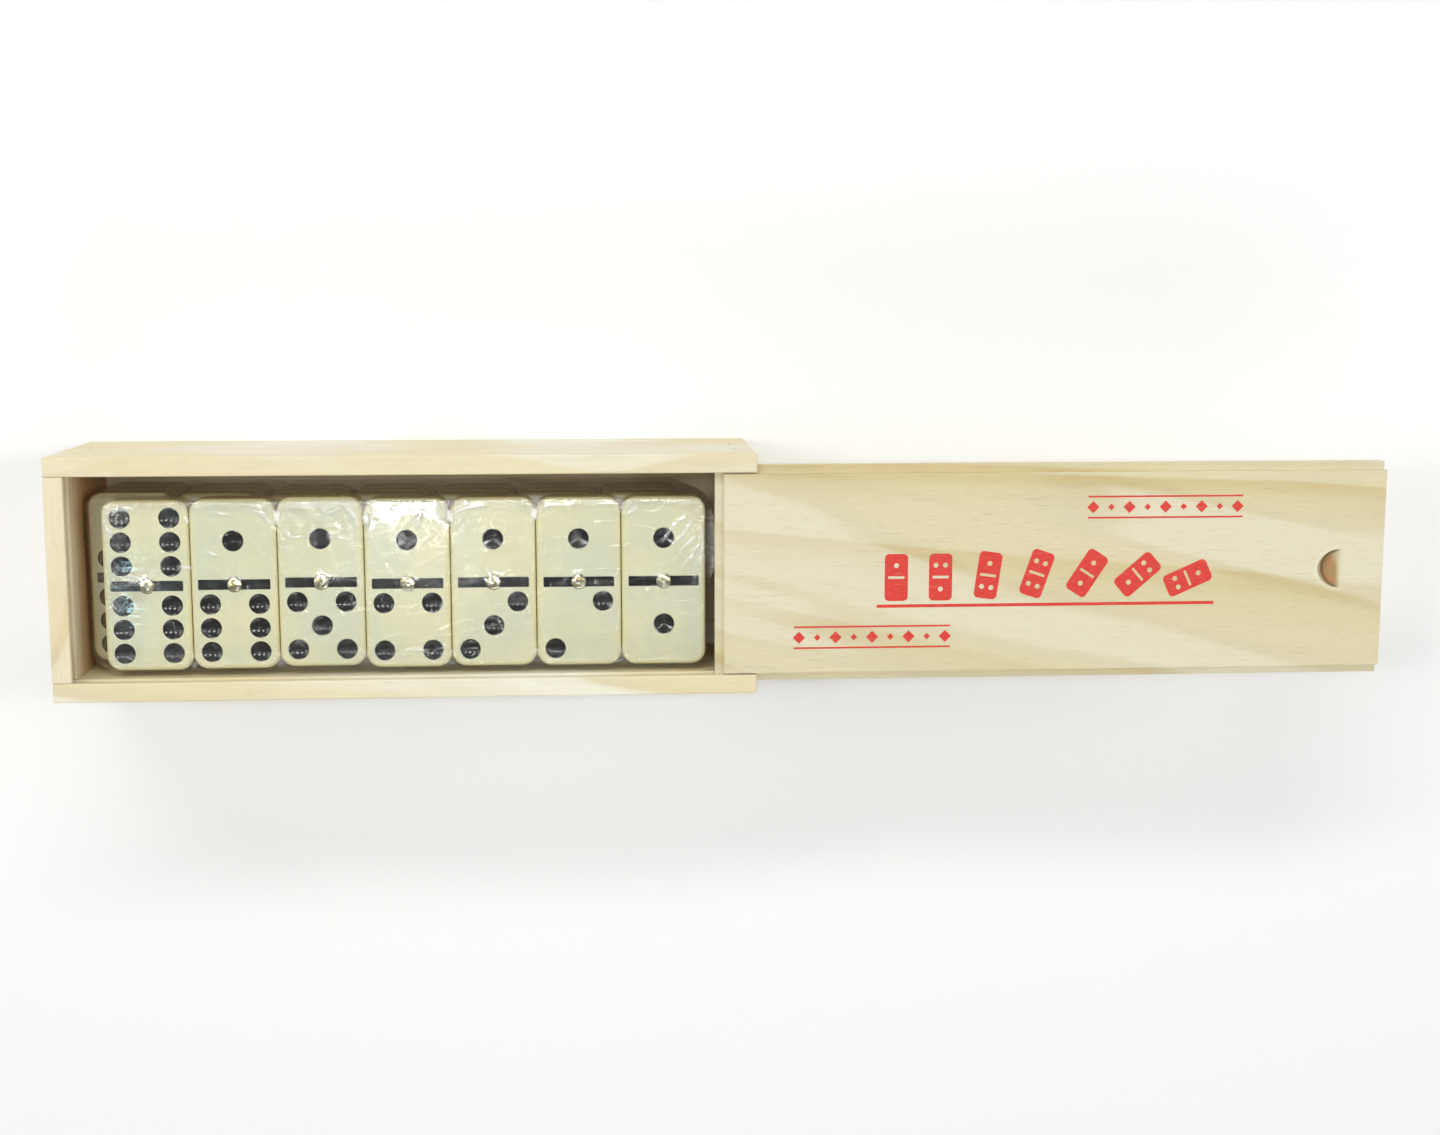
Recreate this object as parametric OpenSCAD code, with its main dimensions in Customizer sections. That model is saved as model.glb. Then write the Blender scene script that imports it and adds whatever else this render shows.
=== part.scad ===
// Pine box with a sliding lid, holding a double-six set of 28 domino tiles.
// The box lies on its floor, +Z up. +X runs along the box towards the end where the lid
// comes out, and +Y towards the back side wall. The origin is the middle of the underside.

/* [Box] */
// Outside length of the box
box_l = 195; // [194:1:200]
// Outside width of the box
box_w = 68; // [67.5:0.5:72]
// Outside height of the box
box_h = 54; // [53.5:0.5:57]
// Thickness of the two long side walls
side_t = 5.4; // [4.8:0.1:5.8]
// Thickness of the two end walls
end_t = 5.3; // [4.8:0.1:5.8]
// Thickness of the floor panel
floor_t = 4.6; // [4:0.1:4.7]
// How far the floor panel is let into the walls
floor_let = 2.5; // [1.5:0.1:3]
// How far the low end wall stands back from the ends of the side walls
end_inset = 0.5; // [0:0.1:1]
// Height of the small fingers that pass through the side walls at each corner
finger_h = 4.6; // [3:0.1:6]

/* [Lid] */
// Thickness of the lid
lid_t = 5.5; // [4.5:0.1:5.6]
// Height of the tongue along the lid's lower edges
tongue_h = 3.3; // [2.5:0.1:3.5]
// How far the tongue stands out from the lid's edge
tongue_out = 2.4; // [1.5:0.1:2.8]
// Gap between the lid's edge and the rim on each side
lid_gap = 0.4; // [0.2:0.05:0.6]
// Gap above, below and beside the tongue in its groove
groove_gap = 0.2; // [0.1:0.05:0.3]
// How far the lid is drawn out towards +X: 0 is shut
lid_open = 180; // [0:1:182]
// Radius of the finger notch
notch_r = 5.6; // [5:0.1:8]
// Depth of the finger notch at its curved wall
notch_deep = 3.2; // [1.5:0.1:3.4]
// Distance from the lid's end to the notch's straight edge
notch_in = 12.4; // [10:0.2:25]

/* [Tiles] */
// Length of a tile
tile_l = 48; // [46:0.5:48]
// Width of a tile
tile_w = 23.8; // [22:0.1:23.8]
// Thickness of a tile
tile_t = 10; // [9:0.1:10]
// Radius of a tile's corners
tile_r = 4; // [2:0.5:5]
// Distance from one tile to the next along the box
pitch = 24; // [24:0.1:24.2]
// Radius of a pip
pip_r = 2.9; // [2.2:0.1:3]
// Depth of a pip's dimple
pip_deep = 0.8; // [0.4:0.1:1.2]
// Distance between the columns and the rows of pips
pip_step = 6.75; // [6.2:0.05:7]
// Distance from the tile's middle to the middle of each half
half_off = 12.3; // [12:0.1:12.6]
// Length of the divider bar
bar_l = 19.8; // [16:0.1:21]
// Width of the divider bar
bar_w = 2.8; // [1.5:0.1:3]
// Depth of the divider bar
bar_deep = 0.35; // [0.2:0.05:0.5]
// Radius of the spinner's domed head
spin_r = 2.1; // [1.6:0.1:2.4]
// Height of the spinner's head above the tile's face
spin_up = 0.45; // [0.3:0.05:0.45]

/* [Hidden] */
$fn = 64;
e = 0.01;
pine = [0.91, 0.86, 0.71];
pine_pale = [0.93, 0.89, 0.77];
ivory = [0.90, 0.89, 0.80];
brass = [0.80, 0.68, 0.36];

// Inner faces of the box
in_y = box_w / 2 - side_t;
in_xa = -box_l / 2 + end_t;
in_xb = box_l / 2 - end_inset - end_t;
// The groove that the lid's tongue runs in
groove_lo = box_h - lid_t - groove_gap;
groove_hi = box_h - lid_t + tongue_h + groove_gap;
groove_deep = tongue_out - lid_gap + groove_gap;
// The low end wall's top, just under the lid
low_top = box_h - lid_t - 0.3;
// Middles of the two fingers at each corner
fingers = [box_h - 15, box_h - 32];

// The stack: 4 layers of 7 tiles. The top layer sits a little to the right of the rest.
film_t = 0.2;
film_air = 0.25;
layer_h = tile_t + spin_up + 0.05;
stack_z = floor_t + film_t + 0.05;
top_x = -0.45;
top_y = -2.7;
low_x = top_x - 6;
// How far each tile of the top layer stands out of line, along Y
top_nudge = [0, 0.2, 0.6, 0, 0.1, 0, 0];
// The same for each column of the layers below
low_nudge = [1, 0.6, 0, 0.1, 0, 0.1, 0];

// Tiles by layer, from the top one down, left to right: far half first, then near half
LAYERS = [
    [[6, 6], [1, 6], [1, 5], [1, 4], [1, 3], [1, 2], [1, 1]],
    [[2, 6], [2, 5], [2, 4], [2, 3], [2, 2], [0, 6], [0, 5]],
    [[3, 6], [3, 5], [3, 4], [3, 3], [4, 6], [4, 5], [4, 4]],
    [[5, 6], [5, 5], [0, 4], [0, 3], [0, 2], [0, 1], [0, 0]]
];
function tile_name(layer, col) = str("tile_", LAYERS[layer][col][0], "_", LAYERS[layer][col][1]);
function tile_x(layer, col) = (layer == 0 ? top_x : low_x) + (col - 3) * pitch;
function tile_y(layer, col) = layer == 0 ? top_y + top_nudge[col] : top_y + low_nudge[col];
function tile_z(layer) = stack_z + (3 - layer) * layer_h;

// A block given by its lowest and highest corners
module block(lo, hi) {
    translate(lo) cube(hi - lo);
}

// A slab with round corners, lying on z = 0, its middle over the origin
module round_slab(l, w, h, r) {
    linear_extrude(h) union() {
        square([l - 2 * r, w], center = true);
        square([l, w - 2 * r], center = true);
        for (sx = [-1, 1], sy = [-1, 1])
            translate([sx * (l / 2 - r), sy * (w / 2 - r)]) circle(r);
    }
}

// A long side wall, drawn for the +Y side: lid groove along its rim, rebate for the
// floor along its lower inner edge, and two small finger slots at each end
module side_wall() {
    difference() {
        block([-box_l / 2, in_y, 0], [box_l / 2, box_w / 2, box_h]);
        block([in_xa - groove_deep, in_y - 1, groove_lo], [box_l / 2 + 1, in_y + groove_deep, groove_hi]);
        block([in_xa - floor_let, in_y - 1, -1], [in_xb + floor_let, in_y + floor_let, floor_t]);
        for (z = fingers) {
            block([-box_l / 2 - 1, in_y - 1, z - finger_h / 2], [in_xa, box_w / 2 + 1, z + finger_h / 2]);
            block([in_xb, in_y - 1, z - finger_h / 2], [box_l / 2 + 1, box_w / 2 + 1, z + finger_h / 2]);
        }
    }
}

module back_side_wall() {
    color(pine_pale) side_wall();
}

module front_side_wall() {
    color(pine_pale) mirror([0, 1, 0]) side_wall();
}

// The full-height end wall, with the groove that takes the shut lid's end tongue
module closed_end_wall() {
    color(pine) difference() {
        union() {
            block([-box_l / 2, -in_y, 0], [in_xa, in_y, box_h]);
            for (z = fingers)
                block([-box_l / 2, -box_w / 2, z - finger_h / 2], [in_xa, box_w / 2, z + finger_h / 2]);
        }
        block([in_xa - groove_deep, -in_y - 1, groove_lo], [in_xa + 1, in_y + 1, groove_hi]);
        block([in_xa - floor_let, -in_y - 1, -1], [in_xa + 1, in_y + 1, floor_t]);
    }
}

// The low end wall that the lid slides over. It stands a little back from the side walls' ends
module open_end_wall() {
    color(pine) difference() {
        union() {
            block([in_xb, -in_y, 0], [in_xb + end_t, in_y, low_top]);
            for (z = fingers)
                block([in_xb, -box_w / 2, z - finger_h / 2], [in_xb + end_t, box_w / 2, z + finger_h / 2]);
        }
        block([in_xb - 1, -in_y - 1, -1], [in_xb + floor_let, in_y + 1, floor_t]);
    }
}

module floor_panel() {
    color(pine) block([in_xa - floor_let, -in_y - floor_let, 0], [in_xb + floor_let, in_y + floor_let, floor_t]);
}

// The lid, drawn shut: a board whose lower edges carry a tongue on three sides, and a
// finger notch cut by a tilted round bit. Its flat floor slopes down from a straight edge
// on the exit side to a steep curved wall
module lid_shut() {
    top_a = in_xa + lid_gap;
    edge_y = in_y - lid_gap;
    notch_x = box_l / 2 - notch_in;
    difference() {
        union() {
            block([top_a, -edge_y, box_h - lid_t], [box_l / 2, edge_y, box_h]);
            block([top_a - tongue_out + e, -edge_y - tongue_out + e, box_h - lid_t], [box_l / 2, edge_y + tongue_out - e, box_h - lid_t + tongue_h]);
        }
        translate([notch_x, 0, box_h]) rotate([0, -asin(notch_deep / notch_r), 0]) cylinder(r = notch_r, h = 2 * notch_r);
    }
}

module sliding_lid() {
    color(pine) translate([lid_open, 0, 0]) lid_shut();
}

// Where the pips of each number sit, in steps from the middle of a half
function pips(n) =
    n == 0 ? [] :
    n == 1 ? [[0, 0]] :
    n == 2 ? [[1, 1], [-1, -1]] :
    n == 3 ? [[1, 1], [0, 0], [-1, -1]] :
    n == 4 ? [[1, 1], [1, -1], [-1, 1], [-1, -1]] :
    n == 5 ? [[1, 1], [1, -1], [-1, 1], [-1, -1], [0, 0]] :
             [[1, 1], [1, 0], [1, -1], [-1, 1], [-1, 0], [-1, -1]];

// One tile, face up on z = 0, its length along Y: far half at +Y
module tile(far, near) {
    ball = (pip_r * pip_r + pip_deep * pip_deep) / (2 * pip_deep);
    difference() {
        round_slab(tile_w, tile_l, tile_t, tile_r);
        for (h = [[1, far], [-1, near]], p = pips(h[1]))
            translate([p[0] * pip_step, h[0] * half_off + p[1] * pip_step, tile_t - pip_deep + ball]) sphere(ball);
        translate([0, 0, tile_t - bar_deep]) {
            block([-bar_l / 2, -bar_w / 2, 0], [bar_l / 2, bar_w / 2, 1]);
            cylinder(r = spin_r + 0.05, h = 1);
        }
        translate([0, 0, tile_t - 6.05]) cylinder(r = 1, h = 6);
    }
}

module placed_tile(layer, col) {
    color(ivory) translate([tile_x(layer, col), tile_y(layer, col), tile_z(layer)])
        tile(LAYERS[layer][col][0], LAYERS[layer][col][1]);
}

// A spinner: a domed head on a short shank, standing where the tile's z = 0 is
module spinner() {
    dome = spin_up + bar_deep;
    ball = (spin_r * spin_r + dome * dome) / (2 * dome);
    intersection() {
        translate([0, 0, tile_t + spin_up - ball]) sphere(ball, $fn = 96);
        translate([0, 0, tile_t - bar_deep]) cylinder(r = spin_r + 1, h = dome + 1);
    }
    translate([0, 0, tile_t - 6]) cylinder(r = 0.98, h = 6 - bar_deep + 0.05);
}

module brass_spinners() {
    color(brass) for (layer = [0:3], col = [0:6])
        translate([tile_x(layer, col), tile_y(layer, col), tile_z(layer)]) spinner();
}

// Outline of the wrapped stack seen from the front, grown by a margin. The film runs
// straight from the top layer's edges to the layers below
module stack_outline(grow, up, down) {
    half = 3 * pitch + tile_w / 2 + grow;
    top = tile_z(0) + tile_t + spin_up + up;
    step = tile_z(0);
    polygon([
        [low_x - half, stack_z - down], [low_x + half, stack_z - down],
        [top_x + half, step - 0.3], [top_x + half, top],
        [top_x - half, top], [low_x - half, step - 0.3 + grow]
    ]);
}

module stack_block(grow, up, down) {
    ya = top_y + min(concat(top_nudge, low_nudge)) - tile_l / 2 - grow;
    yb = top_y + max(concat(top_nudge, low_nudge)) + tile_l / 2 + grow;
    translate([0, yb, 0]) rotate([90, 0, 0]) linear_extrude(yb - ya) stack_outline(grow, up, down);
}

module shrink_film() {
    color([0.85, 0.92, 0.95, 0.3]) difference() {
        stack_block(film_air + film_t, 0.1 + film_t, 0.05 + film_t);
        stack_block(film_air, 0.1, 0.05);
    }
}

front_side_wall();
back_side_wall();
closed_end_wall();
open_end_wall();
floor_panel();
sliding_lid();
for (layer = [0:3], col = [0:6])
    placed_tile(layer, col);
brass_spinners();
shrink_film();
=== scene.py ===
import math

import bmesh
import bpy
import numpy as np
from mathutils import Matrix, Vector, geometry
from mathutils import noise as mnoise


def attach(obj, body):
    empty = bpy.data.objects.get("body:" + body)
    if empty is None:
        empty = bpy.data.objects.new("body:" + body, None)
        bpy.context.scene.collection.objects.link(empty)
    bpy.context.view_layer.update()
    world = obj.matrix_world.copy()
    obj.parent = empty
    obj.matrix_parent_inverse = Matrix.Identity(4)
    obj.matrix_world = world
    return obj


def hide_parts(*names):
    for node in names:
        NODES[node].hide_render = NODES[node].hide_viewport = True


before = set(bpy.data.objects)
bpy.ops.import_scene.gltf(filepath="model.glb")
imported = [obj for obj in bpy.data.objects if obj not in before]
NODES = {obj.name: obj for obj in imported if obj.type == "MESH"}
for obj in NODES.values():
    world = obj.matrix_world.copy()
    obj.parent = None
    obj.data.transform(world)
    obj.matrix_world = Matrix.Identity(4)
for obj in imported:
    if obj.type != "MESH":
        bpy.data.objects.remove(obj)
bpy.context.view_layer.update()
SCENE = bpy.context.scene
MM = 0.001


def srgb(r, g, b, a=1.0):
    """A colour given as 0-255 screen values, as the linear values that shaders take."""
    def lin(c):
        c /= 255.0
        return c / 12.92 if c <= 0.04045 else ((c + 0.055) / 1.055) ** 2.4
    return (lin(r), lin(g), lin(b), a)


# ---------------------------------------------------------------- node trees
class Tree:
    """A material under construction. Values may be sockets, numbers or tuples."""

    def __init__(self, name):
        self.mat = bpy.data.materials.new(name)
        self.mat.use_nodes = True
        self.nt = self.mat.node_tree
        self.nt.nodes.clear()
        self.out = self.nt.nodes.new("ShaderNodeOutputMaterial")

    def put(self, socket, value):
        if value is None:
            return
        if isinstance(value, bpy.types.NodeSocket):
            self.nt.links.new(value, socket)
        elif isinstance(value, (tuple, list)) and len(value) == 4 and socket.type == "VECTOR":
            socket.default_value = value[:3]
        else:
            socket.default_value = value

    def node(self, kind, **props):
        n = self.nt.nodes.new(kind)
        for k, v in props.items():
            setattr(n, k, v)
        return n

    def math(self, op, a, b=None, c=None, clamp=False):
        n = self.node("ShaderNodeMath", operation=op, use_clamp=clamp)
        for i, v in enumerate((a, b, c)):
            self.put(n.inputs[i], v)
        return n.outputs[0]

    def add(self, a, b):
        return self.math("ADD", a, b)

    def sub(self, a, b):
        return self.math("SUBTRACT", a, b)

    def mul(self, a, b):
        return self.math("MULTIPLY", a, b)

    def vmath(self, op, a, b=None, scale=None):
        n = self.node("ShaderNodeVectorMath", operation=op)
        self.put(n.inputs[0], a)
        self.put(n.inputs[1], b)
        if scale is not None:
            self.put(n.inputs["Scale"], scale)
        return n.outputs["Value"] if op in ("LENGTH", "DOT_PRODUCT", "DISTANCE") else n.outputs[0]

    def xyz(self, v):
        n = self.node("ShaderNodeSeparateXYZ")
        self.put(n.inputs[0], v)
        return n.outputs

    def vec(self, x, y, z):
        n = self.node("ShaderNodeCombineXYZ")
        for s, v in zip(n.inputs, (x, y, z)):
            self.put(s, v)
        return n.outputs[0]

    def noise(self, vector, scale=1.0, detail=2.0, rough=0.5, lac=2.0, dist=0.0):
        n = self.node("ShaderNodeTexNoise")
        self.put(n.inputs["Vector"], vector)
        for k, v in (("Scale", scale), ("Detail", detail), ("Roughness", rough), ("Lacunarity", lac), ("Distortion", dist)):
            n.inputs[k].default_value = v
        return n.outputs["Fac"]

    def ramp(self, fac, stops, interp="LINEAR"):
        n = self.node("ShaderNodeValToRGB")
        self.put(n.inputs[0], fac)
        r = n.color_ramp
        r.interpolation = interp
        while len(r.elements) < len(stops):
            r.elements.new(0.5)
        for e, (pos, col) in zip(r.elements, stops):
            e.position = pos
            e.color = col if isinstance(col, tuple) else (col, col, col, 1)
        return n.outputs["Color"]

    def span(self, v, a, b, lo=0.0, hi=1.0, smooth=False):
        n = self.node("ShaderNodeMapRange", interpolation_type="SMOOTHSTEP" if smooth else "LINEAR")
        for i, x in enumerate((v, a, b, lo, hi)):
            self.put(n.inputs[i], x)
        return n.outputs[0]

    def mix(self, fac, a, b, blend="MIX"):
        n = self.node("ShaderNodeMix", data_type="RGBA", blend_type=blend, clamp_factor=True)
        self.put(n.inputs[0], fac)
        self.put(n.inputs[6], a)
        self.put(n.inputs[7], b)
        return n.outputs[2]

    def bump(self, height, distance, strength=1.0, normal=None):
        n = self.node("ShaderNodeBump")
        n.inputs["Strength"].default_value = strength
        n.inputs["Distance"].default_value = distance
        self.put(n.inputs["Height"], height)
        self.put(n.inputs["Normal"], normal)
        return n.outputs[0]

    def principled(self, **inputs):
        n = self.node("ShaderNodeBsdfPrincipled")
        for k, v in inputs.items():
            self.put(n.inputs[k.replace("_", " ")], v)
        return n.outputs[0]

    def done(self, shader):
        self.nt.links.new(shader, self.out.inputs["Surface"])
        return self.mat


def pine(name, along="X", heart=(-60, -56), lean=(-0.1, 0.0), ring=8.0, seed=0.0,
         pale=(233, 224, 196), tan=(214, 196, 150), strength=1.0, wobble=9.0, warm=0.5, ink=False, broad=None, duct=0.34, inner=None, patch=0.3, notch=None):
    """Sanded pine, solid through the board: growth rings about a heart line that runs
    along the grain, with fibres, resin ducts and blotches. All lengths in millimetres."""
    t = Tree(name)
    p = t.vmath("SCALE", t.node("ShaderNodeTexCoord").outputs["Object"], scale=1000.0)
    x, y, z = t.xyz(p)
    g, a, b = (x, y, z) if along == "X" else (y, x, z)
    g = t.add(g, seed * 137.0)
    # slow wander of the grain
    w1 = t.noise(t.vec(t.mul(g, 0.011), t.mul(a, 0.016), t.mul(b, 0.016)), 1.0, 1.5, 0.45)
    w2 = t.noise(t.vec(t.mul(g, 0.05), t.mul(a, 0.10), t.add(t.mul(b, 0.10), 31.7)), 1.0, 2.0, 0.5)
    shift = t.add(t.mul(t.sub(w1, 0.5), wobble * 2), t.mul(t.sub(w2, 0.5), wobble * 0.20))
    da = t.add(t.sub(t.sub(a, heart[0]), t.mul(g, lean[0])), shift)
    db = t.add(t.sub(t.sub(b, heart[1]), t.mul(g, lean[1])), t.mul(shift, 0.35))
    r = t.math("SQRT", t.add(t.mul(da, da), t.mul(db, db)))
    turn = t.math("DIVIDE", r, ring)
    if broad is not None:
        # fast-grown board: few broad rings that drift across the face, steepest at its
        # lower left, flatter further on
        along_x = t.sub(x, broad)
        bend = t.mul(t.math("POWER", t.math("MAXIMUM", t.sub(18.0, a), 0.0), 1.15), 0.0042)
        reach = t.mul(t.sub(1.0, t.math("EXPONENT", t.mul(along_x, -1 / 60))), 60.0)
        turn = t.add(t.add(a, t.add(t.mul(along_x, 0.045), t.mul(bend, reach))), t.add(t.mul(t.sub(b, 54.0), 0.9), t.mul(shift, 0.45)))
        turn = t.math("MULTIPLY_ADD", turn, 1 / 19.0, 20.31)
    uneven = t.noise(t.vec(t.mul(turn, 0.8), seed * 3.1, 5.0), 1.0, 1.0, 0.5)
    turn = t.add(turn, t.mul(uneven, 0.7 if broad is None else 0.0))
    part = t.math("FRACT", turn)
    which = t.math("FLOOR", turn)
    late = t.ramp(part, [(0.0, 0.10), (0.06, 0.0), (0.42, 0.04), (0.70, 0.34), (0.88, 0.95), (0.945, 1.0), (0.985, 0.25), (1.0, 0.10)], "EASE")
    depth = t.span(t.noise(t.vec(t.mul(which, 7.31), seed + 2.0, 9.0), 1.0, 0.0), 0.3, 0.7, 0.45, 1.0)
    late = t.mul(late, depth)
    # fibres, long and thin
    f1 = t.noise(t.vec(t.mul(g, 0.035), t.mul(a, 1.9), t.mul(b, 1.9)), 1.0, 3.0, 0.62)
    f2 = t.noise(t.vec(t.mul(g, 0.22), t.mul(a, 7.5), t.mul(b, 7.5)), 1.0, 2.0, 0.6)
    ticks = t.noise(t.vec(t.mul(g, 0.21), t.mul(a, 4.6), t.add(t.mul(b, 4.6), 11.0)), 1.0, 1.0, 0.5)
    ticks = t.span(ticks, 0.65, 0.76, 0.0, 1.0)
    # broad tints
    b1 = t.noise(t.vec(t.mul(g, 0.012), t.mul(a, 0.05), t.add(t.mul(b, 0.05), seed * 5.0)), 1.0, 2.0, 0.5)
    b2 = t.noise(t.vec(t.mul(g, 0.03), t.mul(a, 0.09), t.add(t.mul(b, 0.09), 60 + seed)), 1.0, 2.5, 0.55)
    b3 = t.noise(t.vec(t.add(t.mul(g, 0.014), t.mul(a, 0.05)), t.mul(a, 0.02), t.add(t.mul(b, 0.02), 17 + seed * 2.0)), 1.0, 1.5, 0.5)
    col = t.mix(t.mul(late, strength), srgb(*pale), srgb(*tan))
    col = t.mix(t.mul(t.span(b3, 0.50, 0.555, smooth=True), 0.75 * patch), col, srgb(231, 230, 214))
    col = t.mix(t.mul(t.span(b3, 0.475, 0.40, smooth=True), 0.65 * patch), col, srgb(219, 209, 164))
    col = t.mix(t.mul(t.span(b1, 0.42, 0.68, smooth=True), 0.38 * warm), col, srgb(224, 200, 166))
    col = t.mix(t.mul(t.span(b2, 0.45, 0.75, smooth=True), 0.30 * warm), col, srgb(196, 192, 150))
    col = t.mix(t.mul(t.span(f1, 0.35, 0.72), 0.22), col, srgb(204, 188, 146))
    col = t.mix(t.mul(t.span(f2, 0.5, 0.8), 0.16), col, srgb(184, 160, 116))
    col = t.mix(t.mul(ticks, duct), col, srgb(164, 142, 100))
    if inner is not None:
        # painted shade on the faces inside the box: browner and darker towards the bottom
        axis, at, way, from_z, to_z, least, most = inner
        deep = t.span(x if axis == "X" else y, at - 0.25 * way, at + 0.25 * way)
        deep = t.mul(deep, t.span(z, from_z, to_z, least, most, smooth=True))
        col = t.mix(deep, col, t.mix(t.span(f1, 0.3, 0.7), srgb(212, 160, 90), srgb(190, 134, 66)))
    if notch is not None:
        # the finger notch, a tilted round cut: u lies along its floor, w stands up from it.
        # The floor is brown, partly for its end grain and partly as painted shade, with painted light at the upper
        # right where it rises to the surface; the curved wall is a paler olive, the crease at its foot is painted
        # dark as shade, and a painted highlight runs along the arc's rim
        at_x, cut_r, top_z, lean_c, lean_s = notch
        dx, dz = t.sub(x, at_x), t.sub(z, top_z)
        u = t.add(t.mul(dx, lean_c), t.mul(dz, lean_s))
        w = t.sub(t.mul(dz, lean_c), t.mul(dx, lean_s))
        away = t.math("SQRT", t.add(t.mul(u, u), t.mul(y, y)))
        cut = t.mul(t.span(z, top_z - 0.06, top_z - 0.85), t.mul(t.span(away, cut_r + 0.3, cut_r + 0.15), t.span(w, -0.4, -0.2)))
        wall = t.span(w, 0.20, 0.70)
        streak = t.noise(t.vec(t.mul(x, 0.8), t.mul(y, 0.25), t.mul(z, 0.8)), 1.0, 3.0, 0.6)
        notch_grain_and_shade = t.mix(t.span(streak, 0.34, 0.60, smooth=True), srgb(158, 136, 84), srgb(182, 126, 82))
        # painted light: paler at the upper right, where the floor rises to the surface
        notch_grain_and_shade = t.mix(t.mul(t.span(t.add(t.mul(u, 0.9), t.mul(y, 0.55)), -1.6, 1.4, smooth=True), 0.80), notch_grain_and_shade, srgb(190, 186, 148))
        # a paler olive on the curved wall
        notch_grain_and_shade = t.mix(t.mul(wall, 0.80), notch_grain_and_shade, srgb(188, 180, 148))
        # painted shade: darkest in the crease at the foot of the curved wall
        deep = t.add(t.math("MAXIMUM", t.sub(cut_r, away), 0.0), t.math("MAXIMUM", w, 0.0))
        notch_grain_and_shade = t.mix(t.mul(t.span(deep, 0.95, 0.10, smooth=True), 0.85), notch_grain_and_shade, srgb(98, 84, 48))
        col = t.mix(t.mul(cut, 0.94), col, notch_grain_and_shade)
        # painted highlight along the rim of the arc
        flat = t.math("SQRT", t.add(t.mul(t.mul(dx, lean_c), t.mul(dx, lean_c)), t.mul(y, y)))
        rim_highlight = t.add(t.math("ABSOLUTE", t.sub(flat, cut_r + 0.35)), t.mul(t.math("MAXIMUM", dx, 0.0), 1.2))
        rim_highlight = t.mul(t.span(rim_highlight, 1.10, 0.10, smooth=True), t.span(z, top_z - 0.6, top_z - 0.2))
        col = t.mix(t.mul(rim_highlight, 0.24), col, srgb(234, 226, 198))
    height = t.add(t.add(t.mul(f1, 0.5), t.mul(f2, 0.35)), t.sub(t.mul(late, 0.30), t.mul(ticks, 0.8)))
    rough = t.add(t.span(f1, 0.2, 0.8, 0.50, 0.64), t.mul(late, -0.07))
    if ink:
        # the print soaks in: fibres and ducts show through it a little
        worn = t.noise(t.vec(t.mul(g, 0.5), t.mul(a, 1.1), b), 1.0, 4.0, 0.65)
        red = t.mix(t.span(worn, 0.35, 0.7), srgb(202, 44, 36), srgb(214, 62, 50))
        red = t.mix(t.mul(t.span(f2, 0.55, 0.8), 0.30), red, srgb(222, 110, 88))
        col = t.mix(t.mul(ticks, 0.45), red, srgb(226, 160, 128))
        rough = t.span(f2, 0.2, 0.8, 0.42, 0.55)
    normal = t.bump(height, 0.00006, 0.9)
    sh = t.principled(Base_Color=col, Roughness=rough, Normal=normal)
    p_node = sh.node
    p_node.inputs["IOR"].default_value = 1.46
    p_node.inputs["Sheen Weight"].default_value = 0.04
    return t.done(sh)


def ivory(name):
    """Polished ivory plastic. The 'edge' attribute is 0 on the flat and 1 at the rim, 'seed' differs per tile."""
    t = Tree(name)
    p = t.vmath("SCALE", t.node("ShaderNodeTexCoord").outputs["Object"], scale=1000.0)
    edge = t.node("ShaderNodeAttribute", attribute_name="edge").outputs["Fac"]
    seed = t.node("ShaderNodeAttribute", attribute_name="seed").outputs["Fac"]
    p = t.vmath("ADD", p, t.vec(t.mul(seed, 97.0), t.mul(seed, 41.0), 0.0))
    cloud = t.noise(p, 0.055, 3.0, 0.5)
    fine = t.noise(p, 1.6, 3.0, 0.6)
    scratch = t.noise(t.vmath("MULTIPLY", p, (0.35, 5.0, 1.0)), 1.0, 2.0, 0.6)
    col = t.mix(t.span(cloud, 0.35, 0.68, smooth=True), srgb(206, 208, 181), srgb(216, 213, 177))
    col = t.mix(t.mul(fine, 0.10), col, srgb(197, 198, 184))
    col = t.mix(t.mul(edge, 0.85), col, srgb(224, 215, 162))
    rough = t.add(t.span(fine, 0.3, 0.7, 0.16, 0.23), t.mul(t.span(scratch, 0.62, 0.8), 0.10))
    normal = t.bump(t.add(t.mul(cloud, 0.6), t.mul(fine, 0.02)), 0.00005, 0.5)
    sh = t.principled(Base_Color=col, Roughness=rough, Normal=normal)
    n = sh.node
    n.inputs["IOR"].default_value = 1.52
    n.inputs["Subsurface Weight"].default_value = 0.10
    n.inputs["Subsurface Radius"].default_value = (1.0, 0.85, 0.5)
    n.inputs["Subsurface Scale"].default_value = 0.0018
    return t.done(sh)


def black_paint(name):
    """Glossy black enamel in the dimples and bars, with faint dust."""
    t = Tree(name)
    p = t.vmath("SCALE", t.node("ShaderNodeTexCoord").outputs["Object"], scale=1000.0)
    seed = t.node("ShaderNodeAttribute", attribute_name="seed").outputs["Fac"]
    p = t.vmath("ADD", p, t.vec(t.mul(seed, 23.0), t.mul(seed, 71.0), 0.0))
    pool = t.noise(p, 0.9, 2.0, 0.5)
    dust = t.span(t.noise(p, 6.0, 2.0, 0.7), 0.62, 0.8)
    col = t.mix(t.span(pool, 0.3, 0.7), srgb(15, 14, 13), srgb(28, 26, 24))
    col = t.mix(t.mul(dust, 0.22), col, srgb(90, 88, 80))
    rough = t.add(t.span(pool, 0.3, 0.7, 0.12, 0.17), t.mul(dust, 0.20))
    normal = t.bump(t.add(pool, t.mul(dust, 0.2)), 0.00005, 0.5)
    return t.done(t.principled(Base_Color=col, Roughness=rough, Normal=normal))


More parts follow.
